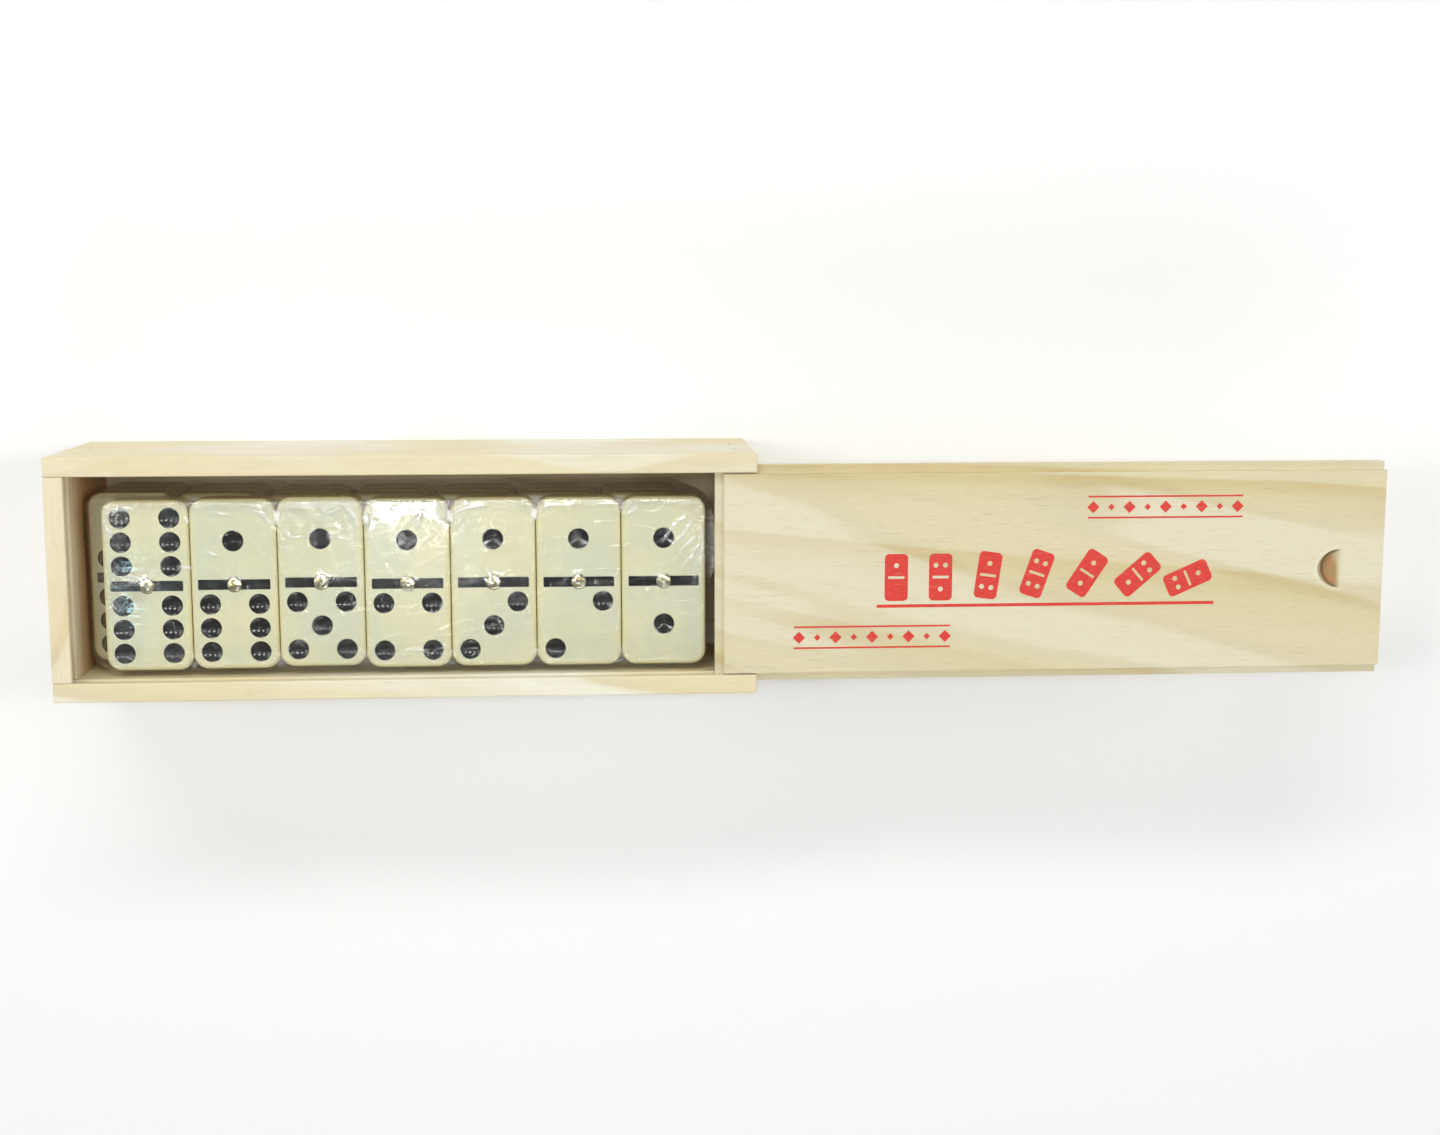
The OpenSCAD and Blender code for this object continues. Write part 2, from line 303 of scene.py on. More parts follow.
def brass(name):
    """Bright turned brass pin with faint tool rings and small dents."""
    t = Tree(name)
    p = t.vmath("SCALE", t.node("ShaderNodeTexCoord").outputs["Object"], scale=1000.0)
    dents = t.add(t.mul(t.noise(p, 0.62, 1.0, 0.5), 1.1), t.mul(t.noise(p, 1.7, 1.0, 0.5), 0.42))
    dents = t.sub(dents, 0.26)
    fine = t.noise(p, 9.0, 2.0, 0.6)
    col = t.mix(t.span(dents, 0.38, 0.62), srgb(232, 229, 208), srgb(206, 194, 150))
    col = t.mix(t.mul(t.span(fine, 0.55, 0.8), 0.35), col, srgb(132, 114, 72))
    rough = t.span(fine, 0.3, 0.7, 0.05, 0.15)
    normal = t.bump(t.add(dents, t.mul(fine, 0.03)), 0.00028, 0.9)
    return t.done(t.principled(Base_Color=col, Metallic=1.0, Roughness=rough, Normal=normal))


def clear_film(name):
    """Clear shrink film: see-through but for its mirror-like glints, the milky creases and white streaks painted in
    as highlights.
    The 'crease' attribute is 0 where the film is taut and 1 in the gathers."""
    t = Tree(name)
    p = t.vmath("SCALE", t.node("ShaderNodeTexCoord").outputs["Object"], scale=1000.0)
    crease = t.node("ShaderNodeAttribute", attribute_name="crease").outputs["Fac"]
    gloss = t.node("ShaderNodeAttribute", attribute_name="gloss").outputs["Fac"]
    painted_glint = t.node("ShaderNodeAttribute", attribute_name="painted_glint").outputs["Fac"]
    ripple = t.noise(t.vmath("MULTIPLY", p, (0.20, 0.34, 0.34)), 1.0, 2.0, 0.5, dist=0.5)
    small = t.noise(p, 1.7, 3.0, 0.6, dist=1.2)
    lines = t.math("POWER", t.sub(1.0, t.math("ABSOLUTE", t.sub(t.mul(t.noise(p, 0.42, 2.0, 0.5, dist=1.6), 2.0), 1.0))), 14.0)
    height = t.add(t.add(t.mul(ripple, 0.05), t.mul(lines, t.add(t.span(gloss, 0.0, 0.8, 0.008, 0.001), t.mul(crease, 0.35)))), t.mul(small, t.add(t.span(gloss, 0.0, 0.8, 0.003, 0.0005), t.mul(crease, 0.40))))
    normal = t.bump(height, 0.0008, 0.85)
    shine = t.principled(Base_Color=(1, 1, 1, 1), Metallic=1.0, Roughness=0.045, Normal=normal)
    # the share mirrored, the same from either side of the film
    tilt = t.node("ShaderNodeLayerWeight")
    tilt.inputs["Blend"].default_value = 0.5
    t.nt.links.new(normal, tilt.inputs["Normal"])
    mirrored = t.math("MULTIPLY_ADD", t.math("POWER", tilt.outputs["Facing"], 5.0), 0.75, t.math("MULTIPLY_ADD", gloss, 0.17, 0.02))
    back = t.principled(Base_Color=srgb(252, 252, 248), Roughness=0.4)
    clear = t.node("ShaderNodeBsdfTransparent")
    clear.inputs["Color"].default_value = (0.985, 0.99, 0.985, 1)
    haze = t.node("ShaderNodeMixShader")
    # veil is a white diffuse layer for the milky creases and for glints painted in as white streaks and knots where
    # highlights should be
    crease_milk_and_glint_paint = t.add(t.mul(crease, t.mul(t.add(lines, 0.30), 0.22)), t.mul(painted_glint, t.span(small, 0.30, 0.60, 0.55, 1.10)))
    t.put(haze.inputs[0], t.math("ADD", 0.006, crease_milk_and_glint_paint, clamp=True))
    t.nt.links.new(clear.outputs[0], haze.inputs[1])
    t.nt.links.new(back, haze.inputs[2])
    top = t.node("ShaderNodeMixShader")
    t.put(top.inputs[0], mirrored)
    t.nt.links.new(haze.outputs[0], top.inputs[1])
    t.nt.links.new(shine, top.inputs[2])
    return t.done(top.outputs[0])


# ---------------------------------------------------------------- mesh helpers
def new_object(name, verts, faces, mats=None, materials=(), normals=None, attrs=None, smooth=True):
    me = bpy.data.meshes.new(name)
    me.from_pydata([tuple(v) for v in verts], [], faces)
    bm = bmesh.new()
    bm.from_mesh(me)
    bmesh.ops.recalc_face_normals(bm, faces=bm.faces)
    bm.to_mesh(me)
    bm.free()
    for m in materials:
        me.materials.append(m)
    if mats is not None:
        me.polygons.foreach_set("material_index", np.array(mats, np.int32))
    me.polygons.foreach_set("use_smooth", np.full(len(me.polygons), smooth, bool))
    for k, v in (attrs or {}).items():
        at = me.attributes.new(k, "FLOAT", "POINT")
        at.data.foreach_set("value", np.array(v, np.float32))
    if normals is not None:
        me.normals_split_custom_set_from_vertices([tuple(n) for n in normals])
    me.update()
    ob = bpy.data.objects.new(name, me)
    SCENE.collection.objects.link(ob)
    return ob


class Sweep:
    """Collects rings of points and the faces between them, with exact normals. Millimetres."""

    def __init__(self):
        self.v, self.n, self.e, self.f, self.m = [], [], [], [], []

    def ring(self, outline, d, z, nd, nz, edge=0.0):
        """outline is [(x, y, nx, ny)]; the ring stands d out along its normals at height z."""
        at = len(self.v)
        for x, y, nx, ny in outline:
            self.v.append((x + nx * d, y + ny * d, z))
            self.n.append((nx * nd, ny * nd, nz))
            self.e.append(edge)
        return list(range(at, at + len(outline)))

    def point(self, x, y, z, n=(0, 0, 1), edge=0.0):
        self.v.append((x, y, z))
        self.n.append(n)
        self.e.append(edge)
        return len(self.v) - 1

    def bridge(self, a, b, mat=0):
        k = len(a)
        for i in range(k):
            j = (i + 1) % k
            self.f.append((a[i], b[i], b[j], a[j]))
            self.m.append(mat)

    def fan(self, a, c, mat=0):
        for i in range(len(a)):
            self.f.append((a[i], c, a[(i + 1) % len(a)]))
            self.m.append(mat)

    def plate(self, outer, holes, mat=0):
        """A flat face inside the outer ring, less the holes."""
        loops = [outer] + list(holes)
        ids = [i for lp in loops for i in lp]
        pts = [Vector(self.v[i][:2]) for i in ids]
        edges, at = [], 0
        for lp in loops:
            k = len(lp)
            edges += [(at + i, at + (i + 1) % k) for i in range(k)]
            at += k
        _, _, tris, orig, _, _ = geometry.delaunay_2d_cdt(pts, edges, [list(range(len(outer)))], 1, 1e-7)
        where = [o[0] for o in orig]
        rims = []
        for lp in holes:
            q = [self.v[i] for i in lp]
            rims.append(q)
        for tri in tris:
            tri = [where[i] for i in tri]
            cx = sum(pts[i].x for i in tri) / 3
            cy = sum(pts[i].y for i in tri) / 3
            if any(inside(cx, cy, q) for q in rims):
                continue
            self.f.append(tuple(ids[i] for i in tri))
            self.m.append(mat)


def inside(x, y, poly):
    hit, j = False, len(poly) - 1
    for i in range(len(poly)):
        xi, yi, xj, yj = poly[i][0], poly[i][1], poly[j][0], poly[j][1]
        if (yi > y) != (yj > y) and x < (xj - xi) * (y - yi) / (yj - yi) + xi:
            hit = not hit
        j = i
    return hit


def round_rect(w, l, r, n, straight=6):
    """Outline of a rectangle w by l with round corners, anticlockwise: (x, y, nx, ny)."""
    out = []
    for k, (sx, sy) in enumerate(((1, 1), (-1, 1), (-1, -1), (1, -1))):
        cx, cy = sx * (w / 2 - r), sy * (l / 2 - r)
        for i in range(n + 1):
            a = math.radians(90 * k + 90 * i / n)
            out.append((cx + r * math.cos(a), cy + r * math.sin(a), math.cos(a), math.sin(a)))
        nxt = ((1, 1), (-1, 1), (-1, -1), (1, -1))[(k + 1) % 4]
        a = math.radians(90 * (k + 1))
        px, py = out[-1][0], out[-1][1]
        qx = nxt[0] * (w / 2 - r) + r * math.cos(a)
        qy = nxt[1] * (l / 2 - r) + r * math.sin(a)
        for i in range(1, straight):
            f = i / straight
            out.append((px + (qx - px) * f, py + (qy - py) * f, math.cos(a), math.sin(a)))
    return out


def circle(cx, cy, r, n):
    return [(cx + r * math.cos(2 * math.pi * i / n), cy + r * math.sin(2 * math.pi * i / n),
             math.cos(2 * math.pi * i / n), math.sin(2 * math.pi * i / n)) for i in range(n)]


# ---------------------------------------------------------------- tiles
LAYERS = [
    [(6, 6), (1, 6), (1, 5), (1, 4), (1, 3), (1, 2), (1, 1)],
    [(2, 6), (2, 5), (2, 4), (2, 3), (2, 2), (0, 6), (0, 5)],
    [(3, 6), (3, 5), (3, 4), (3, 3), (4, 6), (4, 5), (4, 4)],
    [(5, 6), (5, 5), (0, 4), (0, 3), (0, 2), (0, 1), (0, 0)],
]
TILE_W, TILE_L, TILE_T, TILE_R = 23.8, 48.0, 10.0, 4.0
PIP_R, PIP_DEEP, STEP, HALF = 2.9, 0.8, 6.75, 12.3
BAR_L, BAR_W, BAR_DEEP = 19.8, 2.8, 0.35
SPIN_R, SPIN_UP = 2.1, 0.45
PIPS = {
    0: [], 1: [(0, 0)], 2: [(1, 1), (-1, -1)], 3: [(1, 1), (0, 0), (-1, -1)],
    4: [(1, 1), (1, -1), (-1, 1), (-1, -1)], 5: [(1, 1), (1, -1), (-1, 1), (-1, -1), (0, 0)],
    6: [(1, 1), (1, 0), (1, -1), (-1, 1), (-1, 0), (-1, -1)],
}


def pip(s, x, y, seg, cone):
    """A painted dimple with a rolled lip. Returns the ring where it meets the flat."""
    rim = circle(x, y, PIP_R, seg)
    ball = (PIP_R ** 2 + PIP_DEEP ** 2) / (2 * PIP_DEEP)
    lip = 0.30
    slope = math.asin(2.83 / ball) if not cone else math.atan((PIP_DEEP - 0.04) / 2.75)
    d0 = 0.082 if not cone else 0.09
    first = s.ring(rim, d0, TILE_T, 0, 1)
    last = first
    for i in range(1, 5):
        a = math.pi / 2 + slope * i / 4
        now = s.ring(rim, d0 + lip * math.cos(a), TILE_T - lip + lip * math.sin(a), math.cos(a), math.sin(a))
        s.bridge(last, now, 0 if i < 3 else 1)
        last = now
    r_end = PIP_R + d0 + lip * math.cos(math.pi / 2 + slope)
    z_end = TILE_T - lip + lip * math.sin(math.pi / 2 + slope)
    steps = 9
    for i in range(1, steps):
        f = 1 - i / steps
        r = r_end * f
        if cone:
            soft = 0.45
            drop = z_end - (TILE_T - PIP_DEEP)
            k = drop / (math.sqrt(r_end ** 2 + soft ** 2) - soft)
            z = TILE_T - PIP_DEEP + k * (math.sqrt(r * r + soft * soft) - soft)
            dz = k * r / math.sqrt(r * r + soft * soft)
        else:
            h = math.sqrt(ball ** 2 - r * r)
            z = TILE_T - PIP_DEEP + ball - h
            dz = r / h
        q = math.hypot(1, dz)
        now = s.ring(rim, r - PIP_R, z, -dz / q, 1 / q)
        s.bridge(last, now, 1)
        last = now
    s.fan(last, s.point(x, y, TILE_T - PIP_DEEP), 1)
    return first


def bar_outline():
    """The divider bar with the round recess of the spinner in its middle."""
    h, hl, R, c = BAR_W / 2, BAR_L / 2, SPIN_R + 0.05, 0.22
    out = []

    def corner(cx, cy, a0):
        for i in range(4):
            a = math.radians(a0 + 30 * i)
            out.append((cx + c * math.cos(a), cy + c * math.sin(a), math.cos(a), math.sin(a)))

    def straight(x0, x1, y, ny, k=5):
        for i in range(1, k):
            out.append((x0 + (x1 - x0) * i / k, y, 0.0, ny))

    cut = math.asin(h / R)
    xc = R * math.cos(cut)

    def arc(a0, a1, k=14):
        for i in range(k + 1):
            a = a0 + (a1 - a0) * i / k
            out.append((R * math.cos(a), R * math.sin(a), math.cos(a), math.sin(a)))

    corner(hl - c, h - c, 0)
    straight(hl - c, xc, h, 1.0)
    arc(cut, math.pi - cut)
    straight(-xc, -hl + c, h, 1.0)
    corner(-hl + c, h - c, 90)
    out.append((-hl, 0, -1.0, 0.0))
    corner(-hl + c, -h + c, 180)
    straight(-hl + c, -xc, -h, -1.0)
    arc(math.pi + cut, 2 * math.pi - cut)
    straight(xc, hl - c, -h, -1.0)
    corner(hl - c, -h + c, 270)
    out.append((hl, 0, 1.0, 0.0))
    return out


def make_tile(name, far, near, place, seed, seg, materials):
    s = Sweep()
    edge = round_rect(TILE_W, TILE_L, TILE_R, 12)
    rr, br = 1.25, 0.9
    inner = s.ring(edge, -1.8, TILE_T, 0, 1, 0.0)
    last = s.ring(edge, -rr, TILE_T, 0, 1, 0.30)
    s.bridge(inner, last)
    for i in range(1, 7):
        a = math.pi / 2 * (1 - i / 6)
        now = s.ring(edge, -rr + rr * math.cos(a), TILE_T - rr + rr * math.sin(a), math.cos(a), math.sin(a), 0.30 + 0.7 * i / 6)
        s.bridge(last, now)
        last = now
    for z in (TILE_T / 2 + 0.2, TILE_T / 2 - 0.2, br):
        now = s.ring(edge, 0, z, 1, 0, 1.0)
        s.bridge(last, now)
        last = now
    for i in range(1, 6):
        a = -math.pi / 2 * i / 5
        now = s.ring(edge, -br + br * math.cos(a), br + br * math.sin(a), math.cos(a), math.sin(a), 0.9)
        s.bridge(last, now)
        last = now
    s.plate(last, [])
    holes = []
    for h, n in ((1, far), (-1, near)):
        for px, py in PIPS[n]:
            holes.append(pip(s, px * STEP, h * HALF + py * STEP, seg, n == 1))
    bar = bar_outline()
    f = 0.11
    first = s.ring(bar, f, TILE_T, 0, 1)
    holes.append(first)
    last = first
    for i in range(1, 4):
        a = math.pi / 2 * (1 + i / 3)
        now = s.ring(bar, f + f * math.cos(a), TILE_T - f + f * math.sin(a), math.cos(a), math.sin(a))
        s.bridge(last, now, 0 if i < 2 else 1)
        last = now
    for i in range(0, 4):
        a = -math.pi / 2 * i / 3
        now = s.ring(bar, -f + f * math.cos(a), TILE_T - BAR_DEEP + f + f * math.sin(a), -math.cos(a), -math.sin(a))
        s.bridge(last, now, 1)
        last = now
    s.plate(last, [], 1)
    s.plate(inner, holes)
    ob = new_object(name, np.array(s.v) * MM, s.f, s.m, materials, s.n,
                    {"edge": s.e, "seed": [seed] * len(s.v)})
    ob.location = Vector(place) * MM
    return ob


def tile_place(layer, col):
    top_x, top_y = -0.45, -2.7
    nudge = (0, 0.2, 0.6, 0, 0.1, 0, 0)
    low_nudge = (1, 0.6, 0, 0.1, 0, 0.1, 0)
    x = (top_x if layer == 0 else top_x - 6) + (col - 3) * 24.0
    y = top_y + nudge[col] if layer == 0 else top_y + low_nudge[col]
    return x, y, 4.85 + (3 - layer) * 10.5


# ---------------------------------------------------------------- spinners
def make_spinners(material):
    """All the pins in one piece: a domed head with a turned shoulder, and its shank."""
    v, n, f, m = [], [], [], []
    seg = 36
    dome = SPIN_UP + BAR_DEEP
    prof = [(0.98, 4.02, 1, 0), (0.98, TILE_T - BAR_DEEP - 0.02, 1, 0)]
    prof += [(SPIN_R - 0.10, TILE_T - BAR_DEEP + 0.004, 0, -1), (SPIN_R - 0.03, TILE_T - BAR_DEEP + 0.03, 0.7, -0.7)]
    prof += [(SPIN_R, TILE_T - BAR_DEEP + 0.10, 1, 0), (SPIN_R - 0.02, TILE_T - BAR_DEEP + 0.17, 0.93, 0.36)]
    for i in range(1, 20):
        a = i / 20
        r = (SPIN_R - 0.03) * math.cos(a * math.pi / 2)
        z = TILE_T - BAR_DEEP + 0.17 + (dome - 0.17) * math.sin(a * math.pi / 2) ** 0.9
        z -= 0.05 * math.exp(-((r - 1.25) / 0.16) ** 2) + 0.05 * math.exp(-(r / 0.35) ** 2)
        q = Vector((math.cos(a * math.pi / 2) * 0.5, math.sin(a * math.pi / 2))).normalized()
        prof.append((r, z, q.x, q.y))
    for layer in range(4):
        for col in range(7):
            x, y, z = tile_place(layer, col)
            turn = 0.7 * layer + 1.3 * col
            base = len(v)
            for r, h, nr, nz in prof:
                for i in range(seg):
                    a = 2 * math.pi * i / seg + turn
                    v.append((x + r * math.cos(a), y + r * math.sin(a), z + h))
            for k in range(len(prof) - 1):
                for i in range(seg):
                    j = (i + 1) % seg
                    f.append((base + k * seg + i, base + k * seg + j, base + (k + 1) * seg + j, base + (k + 1) * seg + i))
            last = base + (len(prof) - 1) * seg
            v.append((x, y, z + TILE_T + SPIN_UP - 0.05))
            f += [(last + i, last + (i + 1) % seg, len(v) - 1) for i in range(seg)]
            v.append((x, y, z + prof[0][1]))
            f += [(base + (i + 1) % seg, base + i, len(v) - 1) for i in range(seg)]
    return new_object("spinner_pins", np.array(v) * MM, f, None, [material])


# ---------------------------------------------------------------- film
def fbm(x, y, z, octaves=3):
    return mnoise.fractal(Vector((x, y, z)), 0.9, 2.1, octaves, noise_basis="PERLIN_NEW")


def ridge(x, y, z, power=6):
    return (1 - min(1.0, abs(mnoise.noise(Vector((x, y, z)), noise_basis="PERLIN_NEW")) * 1.6)) ** power


SPINS = [tile_place(0, c)[:2] for c in range(7)]
JOINTS = [(SPINS[c][0] + SPINS[c + 1][0]) / 2 for c in range(6)]
TOP = 46.35
FILM_XA, FILM_XB, FILM_YA, FILM_YB = -84.62, 83.72, -27.0, 21.75


def near_path(x, y, path):
    """Distance to a run of straight pieces, and how far along it the nearest spot is (0 to 1)."""
    best, at = 1e9, 0.0
    k = len(path) - 1
    for i in range(k):
        (ax, ay), (bx, by) = path[i], path[i + 1]
        ux, uy = bx - ax, by - ay
        f = min(1.0, max(0.0, ((x - ax) * ux + (y - ay) * uy) / (ux * ux + uy * uy)))
        d = math.hypot(x - ax - ux * f, y - ay - uy * f)
        if d < best:
            best, at = d, (i + f) / k
    return best, at


def on_tile(col, *points):
    """Points given from the middle of a tile, as points of the stack."""
    return [(SPINS[col][0] + px, SPINS[col][1] + py) for px, py in points]


# strands where the film is pinched, each raised and painted white as a highlight: path, half width, height, whiteness
# of the painted highlight
STRANDS = [
    (on_tile(0, (-6.2, 2.9), (-2.8, 2.7), (-0.4, 0.9)), 0.42, 0.16, 0.75),
    (on_tile(0, (9.0, 5.6), (12.4, 5.0)), 0.45, 0.14, 0.80),
    (on_tile(0, (-10.4, 20.6), (-7.0, 21.6), (-1.5, 21.5)), 0.50, 0.20, 0.45),
    (on_tile(0, (-10.6, 17.0), (-8.6, 13.4)), 0.40, 0.16, 0.50),
    (on_tile(0, (-10.2, -5.0), (-8.4, -6.4)), 0.40, 0.12, 0.55),
    (on_tile(1, (-7.2, 9.6), (-4.3, 8.2)), 0.45, 0.14, 0.75),
    (on_tile(1, (-6.0, 20.4), (-1.0, 19.6)), 0.40, 0.16, 0.35),
    (on_tile(1, (3.4, 21.2), (8.6, 19.8), (10.9, 16.6)), 0.50, 0.20, 0.55),
    (on_tile(2, (-10.6, 15.2), (-8.2, 12.9), (-3.4, 13.3)), 0.42, 0.16, 0.55),
    (on_tile(2, (-10.9, 9.9), (-7.6, 10.2)), 0.35, 0.10, 0.45),
    (on_tile(2, (2.2, 12.9), (7.9, 12.0)), 0.36, 0.12, 0.45),
    (on_tile(2, (-0.6, 21.7), (2.3, 19.4), (5.8, 20.8)), 0.42, 0.18, 0.60),
    (on_tile(2, (6.0, 21.6), (9.6, 19.0), (10.9, 15.4)), 0.50, 0.20, 0.55),
    (on_tile(2, (-0.4, 4.0), (0.1, 1.2)), 0.40, 0.16, 0.70),
    (on_tile(3, (0.3, 16.1), (3.8, 19.1), (3.0, 15.4)), 0.42, 0.16, 0.70),
    (on_tile(3, (-0.3, -19.0), (5.3, -19.3)), 0.40, 0.10, 0.55),
    (on_tile(3, (-2.0, -1.6), (1.8, -2.2)), 0.35, 0.10, 0.50),
    (on_tile(4, (-11.6, 18.9), (-8.2, 21.0), (-2.4, 21.7)), 0.50, 0.20, 0.70),
    (on_tile(4, (-10.4, 15.2), (-8.0, 19.0)), 0.40, 0.16, 0.55),
    (on_tile(4, (-1.4, 3.6), (-0.3, 0.9)), 0.45, 0.18, 0.85),
    (on_tile(5, (-10.6, 20.4), (-6.4, 22.0)), 0.45, 0.18, 0.45),
    (on_tile(5, (8.4, -6.9), (9.2, -7.1)), 0.40, 0.10, 0.50),
    (on_tile(6, (-10.8, 18.6), (-7.0, 21.4)), 0.42, 0.16, 0.45),
    (on_tile(6, (-0.4, 11.2), (2.6, 15.4), (6.2, 18.4)), 0.38, 0.18, 0.55),
    (on_tile(6, (2.2, 10.0), (5.4, 13.0), (8.6, 17.8)), 0.40, 0.20, 0.65),
    (on_tile(6, (4.6, 8.0), (7.0, 10.6), (9.8, 13.8)), 0.38, 0.18, 0.55),
    (on_tile(6, (5.4, 4.2), (8.6, 7.8), (10.8, 12.4)), 0.38, 0.18, 0.50),
    (on_tile(6, (9.0, 3.0), (11.3, 10.0), (10.6, 17.4)), 0.45, 0.24, 0.60),
]


def film_lift(x, y):
    """Height of the film over the tile faces in millimetres, and from 0 to 1 how creased,
    how mirror-like and how white it is painted there as a highlight."""
    h, crease = 0.09, 0.0
    gloss, painted_glint = 0.0, 0.0
    # taut spots that mirror a lamp as one patch: the far end of the middle tile, the left edge
    ragged = 1.5 * fbm(x * 0.16, y * 0.16, 12.0, 3)
    calm = smooth01((12.4 - abs(x + 0.2) + ragged) / 1.6) * smooth01((y - 13.2 - 0.020 * (12 - abs(x)) ** 2 + 2.2 * ragged) / 0.8)
    still = math.exp(-(((x + 78.5) / 5.5) ** 2 + ((y + 4.5) / 9.0) ** 2))
    quiet = 1 - 0.9 * max(math.exp(-((x / 15) ** 2 + ((y - 18) / 8) ** 2)), still)
    gloss += calm + 0.9 * smooth01(1.6 * still + 0.4 * ragged - 0.2)
    # a duller patch over the far half of the third tile
    gloss += 0.30 * smooth01((SPINS[2][0] + 11 - x) / 2) * smooth01((x - SPINS[2][0] + 11.4) / 2) * smooth01((y - 9.6 + ragged) / 1.2)
    for path, wide, high, white in STRANDS:
        if abs(x - path[0][0]) > 20 or abs(y - path[0][1]) > 20:
            continue
        d, f = near_path(x, y, path)
        if d < 3 * wide:
            k = math.exp(-(d / wide) ** 2) * (1 - 0.75 * (2 * f - 1) ** 2)
            h += high * k
            # painted highlight along the strand
            painted_glint = max(painted_glint, white * k)
            gloss += 0.5 * k
    # tents over the pins, with a few pleats running away from each
    for k, (sx, sy) in enumerate(SPINS):
        dx, dy = x - sx, y - sy
        r = math.hypot(dx, dy)
        if r < 13:
            th = math.atan2(dy, dx)
            h += 0.44 / (1 + (r / 2.55) ** 4)
            pleat = max(0.0, math.cos((th - 0.9 - k * 1.7) * 1.5)) ** 24 + 0.8 * max(0.0, math.cos((th + 1.3 + k * 2.3) * 1.5)) ** 30
            h += 0.17 * pleat * math.exp(-((r - 2.6) / 4.2) ** 2)
            crease += 0.5 * pleat * math.exp(-((r - 3) / 3.5) ** 2)
    # distance to the nearest edge of the wrapped face
    ex = min(x - FILM_XA, FILM_XB - x)
    ey = min(y - FILM_YA, FILM_YB - y)
    near = math.exp(-max(0.0, min(ex, ey)) / 2.6)
    # webs between the round corners of neighbouring tiles
    for k, jx in enumerate(JOINTS):
        dx = x - jx
        if abs(dx) < 9:
            for ye, s in ((FILM_YB, 1.0), (FILM_YA, 0.7)):
                dy = abs(y - ye)
                if dy < 12:
                    fan_ = math.exp(-(dy / 4.0) ** 2) * math.exp(-(dx / (0.8 + dy * 0.45)) ** 2)
                    side = 0.7 + 0.5 * math.sin(k * 2.4)
                    h += 0.26 * s * side * fan_
                    crease += 0.55 * s * fan_
                    gloss += 0.6 * s * fan_
            # the knot of each web, where the gap between the corners closes, raised a little and painted white as a
            # highlight
            big = (0.70, 1.10, 0.95, 1.05, 1.10, 0.55)[k]
            wx, wy = dx - (-0.5, 0.3, 0.9, 0.2, -0.4, 0.3)[k], y - (16.0, 16.4, 15.6, 16.2, 16.6, 18.2)[k]
            fray = 0.45 * ridge(x * 0.9, y * 0.5, 6.0 + k, 3)
            knot = smooth01(1.25 * big - math.hypot(wx / (1.1 + 0.22 * abs(wy)), wy / 2.1) + fray - 0.25)
            painted_glint = max(painted_glint, 0.85 * knot)
            h += 0.12 * knot
            # a fainter painted highlight at the web on the near edge
            low = math.hypot((dx + 0.2) / 1.4, (y + 22.4) / 1.6)
            painted_glint = max(painted_glint, 0.30 * smooth01(1.1 - low + fray - 0.3))
    # the film stands off the tiles along the far edge, but for the middle one
    lobe = (0.55 + 0.6 * fbm(x * 0.11, 4.4, 0.0, 2)) * (1 - 0.85 * math.exp(-(x / 12) ** 4))
    ty = (FILM_YB - 1.15) - y
    if ty < 9:
        h += 0.24 * max(0.0, lobe) * math.exp(-((ty - 1.5) / 1.2) ** 2)
        h += 0.05 * quiet * math.exp(-((ty - 4.2) / 2.6) ** 2) * math.sin(x * 0.7 + 1.5 * math.sin(y * 0.8))
        gloss += 0.45 * math.exp(-((ty - 0.9) / 1.1) ** 2)
    # long stretch marks, bending towards the corners
    bend = x * 0.035 + 0.5 * math.sin(x * 0.045) + 0.02 * abs(y) * math.sin(x * 0.02 + 1)
    long_ = ridge(x * 0.035 + y * 0.10, y * 0.30 - bend * 1.8, 3.7, 10) * quiet
    cross = ridge(x * 0.16 + y * 0.05, y * 0.045 + x * 0.02, 9.2, 12) * quiet
    h += 0.08 * long_ + 0.06 * cross
    crease += 0.12 * long_ * long_ + 0.08 * cross
    gloss += 0.35 * long_ + 0.3 * cross
    h += 0.09 * fbm(x * 0.05, y * 0.05, 1.0, 2) * (0.45 + 0.55 * quiet)
    # gathers along the edges and a knot of them at the upper left and the right end
    rough = near + 1.1 * math.exp(-(((x + 80) / 9) ** 2 + ((y - 19) / 6) ** 2)) + 1.2 * math.exp(-(((x - 83) / 5) ** 2 + ((y - 8) / 14) ** 2))
    g = ridge(x * 0.55, y * 0.55, 5.1, 5) * 0.6 + ridge(x * 1.1 + 7, y * 1.1, 2.2, 4) * 0.4
    rough *= 1 - 0.8 * calm
    h += 0.20 * min(rough, 1.3) * g
    crease += 0.75 * min(rough, 1.2) * g
    gloss += 0.8 * min(rough, 1.2) * g
    # painted white highlights on the sharpest gathers
    painted_glint = max(painted_glint, 0.55 * smooth01((min(rough, 1.2) * g - 0.50) / 0.35))
    return max(h, 0.05), min(crease, 1.0), min(gloss, 1.0), min(painted_glint, 1.0)


def smooth01(x):
    x = min(1.0, max(0.0, x))
    return x * x * (3 - 2 * x)


def film_extents(z):
    """Edges of the wrapped stack at height z: x low and high, y low and high."""
    f = smooth01((z - 33.0) / 5.0)
    if z >= 36.4:
        xa = -90.55 + (FILM_XA + 90.55) * (z - 36.4) / (46.1 - 36.4)
    else:
        xa = -90.55
    xa = min(xa, FILM_XA)
    xb = FILM_XB if z >= 36.0 else 77.75 + (FILM_XB - 77.75) * (z - 4.7) / (36.0 - 4.7)
    ya = -25.95 + (FILM_YA + 25.95) * f
    yb = 22.55 + (FILM_YB - 22.55) * f
    return xa, xb, ya, yb


